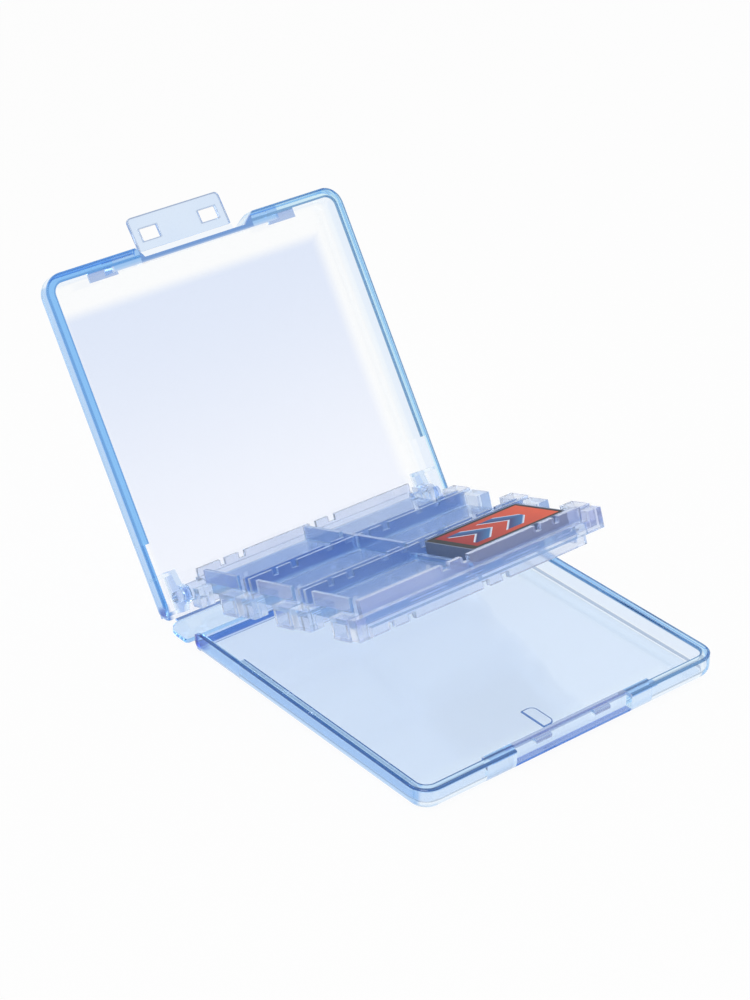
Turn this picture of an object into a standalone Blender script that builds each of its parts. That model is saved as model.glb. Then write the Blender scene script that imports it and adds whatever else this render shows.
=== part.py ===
"""Clear game card case that opens like a book, with a tray that swings up on pins between its two shells.

Every piece is modelled as it lies in the shut case, or about its own pin, and is then turned into the open pose.
The shut case has its base hinge on the line y = 0, its front at minus SHELL_LENGTH and its underside at z = 0.
"""

import math

import bmesh
import bpy
import numpy as np
from mathutils import Matrix, Vector

# Case, outside sizes in metres
CASE_WIDTH = 0.0970
SHELL_LENGTH = 0.0958
CASE_THICKNESS = 0.0133
RIM_GAP = 0.0003
LID_OPEN_DEG = 122.64

# Shell walls
PANEL_THICKNESS = 0.0011
RIM_WALL = 0.0026
THIN_WALL = 0.0013
THIN_WALL_LENGTH = 0.0212
FRONT_CORNER_RADIUS = 0.0055
REAR_CORNER_RADIUS = 0.0035
BOTTOM_EDGE_RADIUS = 0.0033
INNER_EDGE_RADIUS = 0.0015
RIM_EDGE_ROUNDING = 0.0002
CURL_RADIUS = 0.0050
CURL_FOOT_HEIGHT = 0.0014
HINGE_LAND_LENGTH = 0.0032
HINGE_LAND_HEIGHT = 0.0006

# Thin hinge strips and the spine between them
WEB_LENGTH = 0.0022
WEB_THICKNESS = 0.0005
HINGE_HEIGHT = 0.0003
PIECE_GAP = 0.0003
BASE_WEB_HALF_WIDTH = 0.0455
LID_WEB_HALF_WIDTH = 0.0435
SPINE_HALF_WIDTH = 0.0478
SPINE_THICKNESS = 0.0013
SPINE_REAR_RADIUS = 0.0042
SPINE_FRONT_RADIUS = 0.0012
WEB_CLOSED_DEG = 45.0

# Small round-ended mark on the base's floor, behind the latch
MARK_WIDTH = 0.0039
MARK_LENGTH = 0.0087
MARK_ROUNDING = 0.0019
MARK_HEIGHT = 0.00025
MARK_LEFT = -0.0026
MARK_FROM_FRONT = 0.0091

# Latch: recess and nubs on the base, notch and flap on the lid
LATCH_CENTRE = -0.0005
RECESS_HALF_WIDTH = 0.0188
RECESS_DEPTH = 0.0020
RECESS_FOOT = 0.0012
RECESS_BACKING = 0.0035
LATCH_ZONE_HALF_WIDTH = 0.0270
NUB_SPACING = 0.0192
NUB_WIDTH = 0.0050
NUB_BOTTOM = 0.0052
NUB_TOP = 0.00635
NUB_REACH = 0.0015
NUB_SLOPE = 0.0003
NOTCH_DEPTH = 0.0030
NOTCH_BACKING = 0.0043
NOTCH_HALF_WIDTH = 0.0164
NOTCH_FLARE_LEFT = 0.0022
NOTCH_FLARE_RIGHT = 0.0036
FLAP_WIDTH = 0.0300
FLAP_LENGTH = 0.0098
FLAP_THICKNESS = 0.0012
FLAP_SET_BACK = 0.0008
FLAP_CORNER_RADIUS = 0.0014
FLAP_LEAN_DEG = 6.0
WINDOW_WIDTH = 0.0056
WINDOW_LENGTH = 0.0035
WINDOW_FROM_FOLD = 0.0044

# Inside of the lid: catch ledges at the rim and ears for the tray's pins
LEDGE_WIDTH = 0.0088
LEDGE_CENTRES = (-0.0306, 0.0278)
LEDGE_DEPTH = 0.0026
LEDGE_THICKNESS = 0.0010
PIN_FROM_HINGE = 0.0056
PIN_RADIUS = 0.00155
PIN_CLEARANCE = 0.0001
EAR_INNER = 0.0412
EAR_THICKNESS = 0.0016
EAR_TOP_RADIUS = 0.0028
EAR_REAR = 0.0012
EAR_LENGTH = 0.0114
EAR_RIB_THICKNESS = 0.0011
EAR_SHOULDER = 0.0008
EAR_RIB_HEIGHT = 0.0030

# Tray, about its pin: x across, a from the pin to the front, u up
TRAY_TILT_DEG = 18.45
TRAY_HALF_WIDTH = 0.0358
TRAY_HALF_THICKNESS = 0.0050
TRAY_FLOOR_HALF = 0.0013
ROW_COUNT = 3
ROW_START = -0.0003
ROW_LENGTH = 0.0216
ROW_PITCH = 0.0251
WALL = 0.0010
WALL_LOW = 0.0033
FRONT_WALL = 0.0017
CENTRE_WALL = 0.0012
CENTRE_GAP_FRONT = 0.0186
CENTRE_GAP_REAR = 0.0167
CENTRE_END = 0.0455
CENTRE_LOW = 0.0024
END_WALL_FROM_REAR = 0.0027
END_WALL_FROM_FRONT = 0.0030
LUG_REACH = 0.0042
LUG_HIGH = 0.0045
LUG_LOW = 0.0040
LUG_BEFORE = 0.0066
LUG_AFTER = 0.0005
LUG_NEXT = 0.0013
LUG_NEXT_END = 0.0087
LUG_WALL = 0.0009
REAR_LUG_START = 0.0006
REAR_LUG_END = 0.0049
FRONT_LEDGE_END = 0.0762
FRONT_LEDGE_STEP = 0.0004
FRONT_LEDGE_TOP = 0.0016
FRONT_SLOT_BOTTOM = 0.0005
FRONT_SLOT_TOP = 0.0012
FRONT_SLOT_DEPTH = 0.0014
REAR_BEAM_DEPTH = 0.0011
REAR_BEAM_HALF = 0.0024
HUB_RADIUS = 0.0024
HUB_LENGTH = 0.0048
PIN_LENGTH = 0.0040
# Lengths of the wall tops that stand at full height, across the tray on a row's front wall, seen from above
WALL_TOPS = (
    (-0.0358, -0.0098),
    (-0.0075, -0.0034),
    (-0.0012, 0.0205),
    (0.0225, 0.0269),
    (0.0285, 0.0358),
)
FRONT_SLOTS = (
    (-0.0229, -0.0112),
    (-0.0053, 0.0008),
    (0.0074, 0.0188),
    (0.0248, 0.0300),
)

# Game card in the front right pocket
CARD_WIDTH = 0.0310
CARD_LENGTH = 0.0210
CARD_THICKNESS = 0.0033
CARD_CORNER_RADIUS = 0.0010
CARD_LEFT = 0.0018
CARD_EDGE = 0.0004
LABEL_RECESS = 0.0002
LABEL_THICKNESS = 0.0001
LABEL_GAP = 0.00006
LABEL_CORNER_RADIUS = 0.0008
FLAP_BEVEL = 0.0002

CORNER_STEPS = 10
EDGE_STEPS = 7
ROUND_STEPS = 48
BEVEL_ANGLE_DEG = 40.0
FLAT_ANGLE_DEG = 1.0
SMOOTH_ANGLE_DEG = 35.0
# Tray edges closer than this count as one
CELL_LEAST = 0.00001
# Tools reach this far past the faces that they cut, and joined pieces reach this far into each other
CUT_PAST = 0.0010
JOIN_IN = 0.0005

HALF_WIDTH = CASE_WIDTH / 2
HALF_THICKNESS = CASE_THICKNESS / 2
RIM_HEIGHT = HALF_THICKNESS - RIM_GAP / 2
LAST_ROW_START = ROW_START + (ROW_COUNT - 1) * ROW_PITCH
CARD_REAR = LAST_ROW_START + PIECE_GAP
CARD_BOTTOM = TRAY_FLOOR_HALF + PIECE_GAP
CARD_TOP = CARD_BOTTOM + CARD_THICKNESS


def clear_scene():
    for item in list(bpy.data.objects):
        bpy.data.objects.remove(item, do_unlink=True)


def material(name, colour, roughness, alpha, transmission):
    made = bpy.data.materials.new(name)
    made.use_nodes = True
    shader = made.node_tree.nodes["Principled BSDF"]
    shader.inputs["Base Color"].default_value = (*colour, 1.0)
    shader.inputs["Roughness"].default_value = roughness
    shader.inputs["Alpha"].default_value = alpha
    shader.inputs["Transmission Weight"].default_value = transmission
    made.diffuse_color = (*colour, alpha)
    return made


def object_from(name, bm):
    """Turn a bmesh into an object whose faces all look out."""
    bmesh.ops.recalc_face_normals(bm, faces=bm.faces)
    mesh = bpy.data.meshes.new(name)
    bm.to_mesh(mesh)
    bm.free()
    made = bpy.data.objects.new(name, mesh)
    bpy.context.scene.collection.objects.link(made)
    return made


def loft(name, rings, split=False):
    """Close a stack of rings, all with the same number of points, into one body; curved stacks are split."""
    bm = bmesh.new()
    rows = [[bm.verts.new(point) for point in ring] for ring in rings]
    count = len(rows[0])
    for low, high in zip(rows, rows[1:]):
        for index in range(count):
            after = (index + 1) % count
            bm.faces.new((low[index], low[after], high[after], high[index]))
    bm.faces.new(list(reversed(rows[0])))
    bm.faces.new(rows[-1])
    if split:
        bmesh.ops.triangulate(bm, faces=bm.faces)
    return object_from(name, bm)


def plate(name, outline, low, high):
    """Upright prism over an outline in x and y."""
    return loft(name, [[(x, y, z) for x, y in outline] for z in (low, high)])


def side_prism(name, outline, left, right):
    """Prism along x over an outline in y and z."""
    return loft(name, [[(x, y, z) for y, z in outline] for x in (left, right)])


def box(name, low, high):
    outline = ((low[0], low[1]), (high[0], low[1]), (high[0], high[1]), (low[0], high[1]))
    return plate(name, outline, low[2], high[2])


def rod(name, left, right, y, z, radius):
    turns = [2 * math.pi * step / ROUND_STEPS for step in range(ROUND_STEPS)]
    outline = [(y + radius * math.cos(turn), z + radius * math.sin(turn)) for turn in turns]
    return side_prism(name, outline, left, right)


def arc(centre, radii, start_deg, end_deg, steps):
    """Points on a quarter ellipse from one angle to another."""
    turns = [math.radians(start_deg + (end_deg - start_deg) * step / steps) for step in range(steps + 1)]
    return [(centre[0] + radii[0] * math.cos(turn), centre[1] + radii[1] * math.sin(turn)) for turn in turns]


def rounded_rectangle(left, right, front, rear, front_radius, rear_radius):
    """Outline of a rectangle in x and y with rounded corners, anticlockwise from the front left."""
    points = arc((left + front_radius, front + front_radius), (front_radius, front_radius), 180, 270, CORNER_STEPS)
    points += arc((right - front_radius, front + front_radius), (front_radius, front_radius), 270, 360, CORNER_STEPS)
    points += arc((right - rear_radius, rear - rear_radius), (rear_radius, rear_radius), 0, 90, CORNER_STEPS)
    points += arc((left + rear_radius, rear - rear_radius), (rear_radius, rear_radius), 90, 180, CORNER_STEPS)
    return points


def merge(target, tool, operation):
    """Join a tool to the target or cut it away, and leave only the target."""
    step = target.modifiers.new(operation, "BOOLEAN")
    step.operation = operation
    step.solver = "EXACT"
    step.object = tool
    depsgraph = bpy.context.evaluated_depsgraph_get()
    mesh = bpy.data.meshes.new_from_object(target.evaluated_get(depsgraph))
    target.modifiers.clear()
    old = target.data
    target.data = mesh
    bpy.data.meshes.remove(old)
    bpy.data.objects.remove(tool, do_unlink=True)


def bevelled(target, width):
    """Break the sharp edges."""
    step = target.modifiers.new("edges", "BEVEL")
    step.width = width
    step.segments = 1
    step.limit_method = "ANGLE"
    step.angle_limit = math.radians(BEVEL_ANGLE_DEG)
    depsgraph = bpy.context.evaluated_depsgraph_get()
    mesh = bpy.data.meshes.new_from_object(target.evaluated_get(depsgraph))
    target.modifiers.clear()
    target.data = mesh


def flattened(target):
    """Take out the edges inside flat faces."""
    bm = bmesh.new()
    bm.from_mesh(target.data)
    bmesh.ops.dissolve_limit(
        bm,
        angle_limit=math.radians(FLAT_ANGLE_DEG),
        verts=bm.verts,
        edges=bm.edges,
    )
    bmesh.ops.recalc_face_normals(bm, faces=bm.faces)
    bm.to_mesh(target.data)
    bm.free()


def finish(target, name, surface, placement):
    """Name the piece, give it its surface, shade it and turn it into the open pose."""
    target.name = name
    target.data.name = name
    target.data.materials.clear()
    target.data.materials.append(surface)
    target.data.transform(placement)
    target.data.shade_smooth()
    target.data.set_sharp_from_angle(angle=math.radians(SMOOTH_ANGLE_DEG))
    return target


def turn_about(y, z, degrees):
    """Turn about a line along x."""
    there = Matrix.Translation(Vector((0, y, z)))
    back = Matrix.Translation(Vector((0, -y, -z)))
    return there @ Matrix.Rotation(math.radians(degrees), 4, "X") @ back


# Shells


def outer_ring(front, rear, inset, z):
    """Outline of a shell; the rear edge stays put, so that it meets the hinge strip at full width."""
    wide = HALF_WIDTH
    front_radius = FRONT_CORNER_RADIUS - inset
    corner_y = front + FRONT_CORNER_RADIUS
    rear_y = rear - REAR_CORNER_RADIUS
    rear_radii = (REAR_CORNER_RADIUS - inset, REAR_CORNER_RADIUS)
    front_x = wide - FRONT_CORNER_RADIUS
    rear_x = wide - REAR_CORNER_RADIUS
    points = arc((-front_x, corner_y), (front_radius, front_radius), 180, 270, CORNER_STEPS)
    points += arc((front_x, corner_y), (front_radius, front_radius), 270, 360, CORNER_STEPS)
    points += arc((rear_x, rear_y), rear_radii, 0, 90, CORNER_STEPS)
    points += arc((-rear_x, rear_y), rear_radii, 90, 180, CORNER_STEPS)
    return [(x, y, z) for x, y in points]


def inner_ring(front, rear, inset, z):
    """Outline of a shell's hollow, with the thinner wall near the hinge, open at the rear."""
    thick = HALF_WIDTH - RIM_WALL - inset
    thin = HALF_WIDTH - THIN_WALL - inset
    radius = FRONT_CORNER_RADIUS - RIM_WALL
    corner_x = HALF_WIDTH - FRONT_CORNER_RADIUS
    corner_y = front + FRONT_CORNER_RADIUS
    step_y = rear - THIN_WALL_LENGTH
    radii = (radius - inset, radius - inset)
    points = [(-thin, rear + CUT_PAST), (-thin, step_y), (-thick, step_y)]
    points += arc((-corner_x, corner_y), radii, 180, 270, CORNER_STEPS)
    points += arc((corner_x, corner_y), radii, 270, 360, CORNER_STEPS)
    points += [(thick, step_y), (thin, step_y), (thin, rear + CUT_PAST)]
    return [(x, y, z) for x, y in points]


def dish(name, front, rear):
    """Shallow shell with rounded edges, open at the top and towards the hinge."""
    rounds = [math.pi / 2 * step / EDGE_STEPS for step in range(EDGE_STEPS + 1)]
    outer = []
    for turn in rounds:
        inset = BOTTOM_EDGE_RADIUS * (1 - math.sin(turn))
        outer.append(outer_ring(front, rear, inset, BOTTOM_EDGE_RADIUS * (1 - math.cos(turn))))
    outer.append(outer_ring(front, rear, 0, RIM_HEIGHT - RIM_EDGE_ROUNDING))
    outer.append(outer_ring(front, rear, RIM_EDGE_ROUNDING, RIM_HEIGHT))
    inner = []
    for turn in rounds:
        inset = INNER_EDGE_RADIUS * (1 - math.sin(turn))
        height = PANEL_THICKNESS + INNER_EDGE_RADIUS * (1 - math.cos(turn))
        inner.append(inner_ring(front, rear, inset, height))
    inner.append(inner_ring(front, rear, 0, RIM_HEIGHT - RIM_EDGE_ROUNDING))
    inner.append(inner_ring(front, rear, -RIM_EDGE_ROUNDING, RIM_HEIGHT))
    inner.append(inner_ring(front, rear, -RIM_EDGE_ROUNDING, RIM_HEIGHT + CUT_PAST))
    shell = loft(name, outer, split=True)
    merge(shell, loft("hollow", inner, split=True), "DIFFERENCE")
    # the side walls come down to the floor in a round at the hinge
    top = CURL_FOOT_HEIGHT + CURL_RADIUS
    curl = arc((rear - CURL_RADIUS, CURL_FOOT_HEIGHT), (CURL_RADIUS, CURL_RADIUS), 0, 90, CORNER_STEPS)
    outline = [(rear + CUT_PAST, CURL_FOOT_HEIGHT)] + curl
    outline += [(rear - CURL_RADIUS, top + CUT_PAST), (rear + CUT_PAST, top + CUT_PAST)]
    reach = HALF_WIDTH + CUT_PAST
    merge(shell, side_prism("curl", outline, -reach, reach), "DIFFERENCE")
    return shell


def latch_backing(shell, front, depth):
    """Thicken the front wall behind the latch."""
    low = (LATCH_CENTRE - LATCH_ZONE_HALF_WIDTH, front + RIM_WALL - JOIN_IN, PANEL_THICKNESS - JOIN_IN)
    high = (LATCH_CENTRE + LATCH_ZONE_HALF_WIDTH, front + depth, RIM_HEIGHT - RIM_EDGE_ROUNDING)
    merge(shell, box("backing", low, high), "UNION")


def base_shell():
    front = -SHELL_LENGTH
    rear = -PIECE_GAP / 2
    shell = dish("base", front, rear)
    latch_backing(shell, front, RECESS_BACKING)
    low = (LATCH_CENTRE - RECESS_HALF_WIDTH, front - CUT_PAST, RECESS_FOOT)
    high = (LATCH_CENTRE + RECESS_HALF_WIDTH, front + RECESS_DEPTH, RIM_HEIGHT + CUT_PAST)
    merge(shell, box("recess", low, high), "DIFFERENCE")
    for side in (-1, 1):
        middle = LATCH_CENTRE + side * NUB_SPACING / 2
        face = front + RECESS_DEPTH
        outline = (
            (face + JOIN_IN, NUB_BOTTOM),
            (face - NUB_REACH, NUB_BOTTOM),
            (face - NUB_REACH, NUB_TOP - NUB_SLOPE),
            (face - NUB_REACH + NUB_SLOPE, NUB_TOP),
            (face + JOIN_IN, NUB_TOP),
        )
        merge(shell, side_prism("nub", outline, middle - NUB_WIDTH / 2, middle + NUB_WIDTH / 2), "UNION")
    reach = HALF_WIDTH - THIN_WALL + JOIN_IN / 2
    low = (-reach, rear - HINGE_LAND_LENGTH, PANEL_THICKNESS - JOIN_IN)
    high = (reach, rear - RIM_EDGE_ROUNDING, PANEL_THICKNESS + HINGE_LAND_HEIGHT)
    land = box("land", low, high)
    trim = dish_space(rear)
    merge(land, trim, "INTERSECT")
    merge(shell, land, "UNION")
    # the small round-ended mark that stands on the floor behind the latch
    near = front + MARK_FROM_FRONT
    far = near + MARK_LENGTH
    right = MARK_LEFT + MARK_WIDTH - MARK_ROUNDING
    radii = (MARK_ROUNDING, MARK_ROUNDING)
    bow = [(MARK_LEFT, near)]
    bow += arc((right, near + MARK_ROUNDING), radii, -90, 0, CORNER_STEPS)
    bow += arc((right, far - MARK_ROUNDING), radii, 0, 90, CORNER_STEPS)
    bow += [(MARK_LEFT, far)]
    floor = PANEL_THICKNESS
    merge(shell, plate("mark", bow, floor - JOIN_IN, floor + MARK_HEIGHT), "UNION")
    flattened(shell)
    return shell


def dish_space(rear):
    """Room inside a shell's outline near the hinge, for trimming what stands there."""
    corner = rear - REAR_CORNER_RADIUS
    wide = HALF_WIDTH - THIN_WALL
    outline = rounded_rectangle(
        -wide - JOIN_IN / 2,
        wide + JOIN_IN / 2,
        corner - HINGE_LAND_LENGTH - CUT_PAST,
        rear,
        JOIN_IN,
        REAR_CORNER_RADIUS - THIN_WALL,
    )
    return plate("space", outline, -CUT_PAST, RIM_HEIGHT)


def ear(shell, side):
    """Bracket at a rear corner of the lid, with the hole for the tray's pin."""
    floor = PANEL_THICKNESS - JOIN_IN
    rear = -EAR_REAR
    front = rear - EAR_LENGTH
    shoulder = RIM_HEIGHT - EAR_SHOULDER
    radii = (EAR_TOP_RADIUS, EAR_TOP_RADIUS)
    outline = [(front, floor), (rear, floor), (rear, shoulder)]
    outline += arc((-PIN_FROM_HINGE, HALF_THICKNESS), radii, 0, 180, 2 * CORNER_STEPS)
    outline.append((front, shoulder))
    ends = sorted((side * EAR_INNER, side * (EAR_INNER + EAR_THICKNESS)))
    bracket = side_prism("bracket", outline, *ends)
    outside = HALF_WIDTH - THIN_WALL + JOIN_IN / 2
    set_in = RIM_EDGE_ROUNDING
    rib_floor = floor + set_in
    ribs = (
        (front + set_in, front + EAR_RIB_THICKNESS, shoulder - set_in),
        (rear - EAR_RIB_THICKNESS, rear - set_in, EAR_RIB_HEIGHT),
    )
    for low_y, high_y, height in ribs:
        across = sorted((side * (EAR_INNER + JOIN_IN), side * outside))
        merge(bracket, box("rib", (across[0], low_y, rib_floor), (across[1], high_y, height)), "UNION")
    merge(shell, bracket, "UNION")
    radius = PIN_RADIUS + PIN_CLEARANCE
    reach = (ends[0] - CUT_PAST, ends[1] + CUT_PAST)
    merge(shell, rod("hole", *reach, -PIN_FROM_HINGE, HALF_THICKNESS, radius), "DIFFERENCE")


def lid_shell():
    """The lid as a dish with its panel down; turned_over turns it over."""
    front = -SHELL_LENGTH
    rear = -PIECE_GAP / 2
    shell = dish("lid", front, rear)
    for side in (-1, 1):
        ear(shell, side)
    latch_backing(shell, front, NOTCH_BACKING)
    left = LATCH_CENTRE - NOTCH_HALF_WIDTH
    right = LATCH_CENTRE + NOTCH_HALF_WIDTH
    past = 1 + CUT_PAST / NOTCH_DEPTH
    outline = (
        (left, front + NOTCH_DEPTH),
        (left - NOTCH_FLARE_LEFT * past, front - CUT_PAST),
        (right + NOTCH_FLARE_RIGHT * past, front - CUT_PAST),
        (right, front + NOTCH_DEPTH),
    )
    merge(shell, plate("notch", outline, -CUT_PAST, RIM_HEIGHT + CUT_PAST), "DIFFERENCE")
    # the fixed strip that the flap folds on
    fold = front + FLAP_THICKNESS
    low = (LATCH_CENTRE - FLAP_WIDTH / 2, fold + PIECE_GAP / 2, FLAP_SET_BACK)
    high = (LATCH_CENTRE + FLAP_WIDTH / 2, front + NOTCH_DEPTH + JOIN_IN, FLAP_SET_BACK + FLAP_THICKNESS)
    merge(shell, box("strip", low, high), "UNION")
    for middle in LEDGE_CENTRES:
        low = (middle - LEDGE_WIDTH / 2, front + RIM_WALL - JOIN_IN, RIM_HEIGHT - LEDGE_THICKNESS)
        high = (middle + LEDGE_WIDTH / 2, front + RIM_WALL + LEDGE_DEPTH, RIM_HEIGHT - 2 * RIM_EDGE_ROUNDING)
        merge(shell, box("ledge", low, high), "UNION")
    flattened(shell)
    return shell


def turned_over(target):
    """Reflect a dish into the upper half of the shut case."""
    over = Matrix.Translation(Vector((0, 0, CASE_THICKNESS))) @ Matrix.Diagonal((1, 1, -1, 1))
    target.data.transform(over)
    target.data.flip_normals()
    return target


# Hinge strips, spine and flap


def web(name, half_width, start):
    half = WEB_THICKNESS / 2
    low = (-half_width, start + PIECE_GAP / 2, HINGE_HEIGHT - half)
    high = (half_width, start + WEB_LENGTH - PIECE_GAP / 2, HINGE_HEIGHT + half)
    return box(name, low, high)


def spine(length):
    start = WEB_LENGTH + PIECE_GAP / 2
    end = WEB_LENGTH + length - PIECE_GAP / 2
    wide = SPINE_HALF_WIDTH
    outline = rounded_rectangle(-wide, wide, start, end, SPINE_FRONT_RADIUS, SPINE_REAR_RADIUS)
    return plate("spine", outline, 0, SPINE_THICKNESS)


def flap():
    """The flap in the lid's plane, with the lid turned as in the shut case."""
    left = LATCH_CENTRE - FLAP_WIDTH / 2
    right = LATCH_CENTRE + FLAP_WIDTH / 2
    fold = -SHELL_LENGTH + FLAP_THICKNESS
    end = fold - FLAP_LENGTH
    top = CASE_THICKNESS - FLAP_SET_BACK
    under = top - FLAP_THICKNESS
    corner = FLAP_CORNER_RADIUS
    root = fold - PIECE_GAP / 2
    radii = (corner, corner)
    outline = arc((left + corner, end + corner), radii, 180, 270, CORNER_STEPS)
    outline += arc((right - corner, end + corner), radii, 270, 360, CORNER_STEPS)
    outline += [(right, root), (left, root)]
    made = plate("flap", outline, under, top)
    for side in (-1, 1):
        middle = LATCH_CENTRE + side * NUB_SPACING / 2
        centre = fold - WINDOW_FROM_FOLD
        low = (middle - WINDOW_WIDTH / 2, centre - WINDOW_LENGTH / 2, under - CUT_PAST)
        high = (middle + WINDOW_WIDTH / 2, centre + WINDOW_LENGTH / 2, top + CUT_PAST)
        merge(made, box("window", low, high), "DIFFERENCE")
    flattened(made)
    bevelled(made, FLAP_BEVEL)
    return made


# Tray


def cell_body(name, solids, cuts):
    """One closed body from boxes given as (x, x, a, a, u, u), less the cuts; y runs against a."""
    edges = []
    for axis in range(3):
        values = sorted(value for item in solids + cuts for value in item[2 * axis:2 * axis + 2])
        kept = [values[0]]
        for value in values[1:]:
            if value - kept[-1] > CELL_LEAST:
                kept.append(value)
        edges.append(np.array(kept))
    filled = np.zeros([len(line) + 1 for line in edges], dtype=bool)
    for items, state in ((solids, True), (cuts, False)):
        for item in items:
            spans = []
            for axis in range(3):
                low = int(np.argmin(np.abs(edges[axis] - item[2 * axis])))
                high = int(np.argmin(np.abs(edges[axis] - item[2 * axis + 1])))
                spans.append(slice(low + 1, high + 1))
            filled[tuple(spans)] = state
    bm = bmesh.new()
    corners = {}

    def corner(index):
        if index not in corners:
            place = [edges[axis][index[axis]] for axis in range(3)]
            corners[index] = bm.verts.new((place[0], -place[1], place[2]))
        return corners[index]

    for cell in zip(*np.nonzero(filled)):
        low = [int(value) - 1 for value in cell]
        for axis in range(3):
            first = (axis + 1) % 3
            second = (axis + 2) % 3
            for side in (0, 1):
                beside = [int(value) for value in cell]
                beside[axis] += 2 * side - 1
                if filled[tuple(beside)]:
                    continue
                loop = []
                for step_first, step_second in ((0, 0), (1, 0), (1, 1), (0, 1)):
                    index = list(low)
                    index[axis] += side
                    index[first] += step_first
                    index[second] += step_second
                    loop.append(corner(tuple(index)))
                bm.faces.new(loop)
    return object_from(name, bm)


def under_side(item):
    """The same box on the other face of the tray, turned half round about the tray's middle line."""
    return (-item[1], -item[0], item[2], item[3], -item[5], -item[4])


def tray():
    wide = TRAY_HALF_WIDTH
    high = TRAY_HALF_THICKNESS
    floor = TRAY_FLOOR_HALF
    rear = ROW_START - WALL
    last = ROW_START + (ROW_COUNT - 1) * ROW_PITCH + ROW_LENGTH
    top = []
    top_cuts = []
    solids = [(-wide, wide, rear, last + FRONT_WALL, -floor, floor)]
    for row in range(ROW_COUNT):
        start = ROW_START + row * ROW_PITCH
        end = start + ROW_LENGTH
        thickness = FRONT_WALL if row == ROW_COUNT - 1 else WALL
        top.append((-wide, wide, start - WALL, start, floor, WALL_LOW))
        top.append((-wide, wide, end, end + thickness, floor, WALL_LOW))
        for left, right in WALL_TOPS:
            top.append((-right, -left, start - WALL, start, WALL_LOW, high))
            top.append((left, right, end, end + thickness, WALL_LOW, high))
        top.append((-wide, WALL - wide, start + END_WALL_FROM_REAR, end - END_WALL_FROM_FRONT, floor, high))
        top.append((wide, wide + LUG_REACH, end - LUG_BEFORE, end + LUG_AFTER, -floor, LUG_HIGH))
        top_cuts.append((
            wide + LUG_WALL,
            wide + LUG_REACH,
            end - LUG_BEFORE + LUG_WALL,
            end + LUG_AFTER - LUG_WALL,
            0,
            LUG_HIGH - LUG_WALL,
        ))
        lug_end = min(end + LUG_NEXT_END, FRONT_LEDGE_END)
        top.append((wide, wide + LUG_REACH, end + LUG_NEXT, lug_end, -floor, LUG_LOW))
    top.append((wide, wide + LUG_REACH, REAR_LUG_START, REAR_LUG_END, -floor, LUG_LOW))
    top.append((-CENTRE_WALL, 0, ROW_START, CENTRE_GAP_REAR, floor, high))
    top.append((-CENTRE_WALL, 0, CENTRE_GAP_REAR, CENTRE_GAP_FRONT, floor, CENTRE_LOW))
    top.append((-CENTRE_WALL, 0, CENTRE_GAP_FRONT, CENTRE_END, floor, high))
    top.append((-CENTRE_WALL, 0, CENTRE_END, last, floor, CENTRE_LOW))
    ledge = wide + LUG_REACH
    # the ledge along the front, in two heights, with slots in its face
    front = last + FRONT_WALL
    solids.append((-ledge, ledge, front, FRONT_LEDGE_END, -FRONT_LEDGE_TOP, 0))
    solids.append((-ledge, ledge, front, FRONT_LEDGE_END - FRONT_LEDGE_STEP, 0, FRONT_LEDGE_TOP))
    solids.append((-wide, wide, last, front, -FRONT_LEDGE_TOP, FRONT_LEDGE_TOP))
    cuts = []
    slot_depth = FRONT_LEDGE_END - FRONT_SLOT_DEPTH
    for left, right in FRONT_SLOTS:
        cuts.append((left, right, slot_depth, FRONT_LEDGE_END, FRONT_SLOT_BOTTOM, FRONT_SLOT_TOP))
    solids.append((-wide, wide, rear - REAR_BEAM_DEPTH, rear, -REAR_BEAM_HALF, REAR_BEAM_HALF))
    solids += top + [under_side(item) for item in top]
    cuts += top_cuts + [under_side(item) for item in top_cuts]
    body = cell_body("tray", solids, cuts)
    flattened(body)
    for side in (-1, 1):
        hub = sorted((side * (wide - JOIN_IN), side * (wide + HUB_LENGTH)))
        merge(body, rod("hub", *hub, 0, 0, HUB_RADIUS), "UNION")
        pin = sorted((side * wide, side * (wide + HUB_LENGTH + PIN_LENGTH)))
        merge(body, rod("pin", *pin, 0, 0, PIN_RADIUS), "UNION")
    return body


# Card


def card_outline(inset, radius):
    front = -(CARD_REAR + CARD_LENGTH)
    return rounded_rectangle(
        CARD_LEFT + inset,
        CARD_LEFT + CARD_WIDTH - inset,
        front + inset,
        front + CARD_LENGTH - inset,
        radius,
        radius,
    )


def card():
    made = plate("card", card_outline(0, CARD_CORNER_RADIUS), CARD_BOTTOM, CARD_TOP)
    recess = card_outline(CARD_EDGE, LABEL_CORNER_RADIUS)
    merge(made, plate("recess", recess, CARD_TOP - LABEL_RECESS, CARD_TOP + CUT_PAST), "DIFFERENCE")
    flattened(made)
    return made


def label():
    low = CARD_TOP - LABEL_RECESS + LABEL_GAP
    inset = CARD_EDGE + LABEL_GAP
    return plate("label", card_outline(inset, LABEL_CORNER_RADIUS), low, low + LABEL_THICKNESS)


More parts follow.
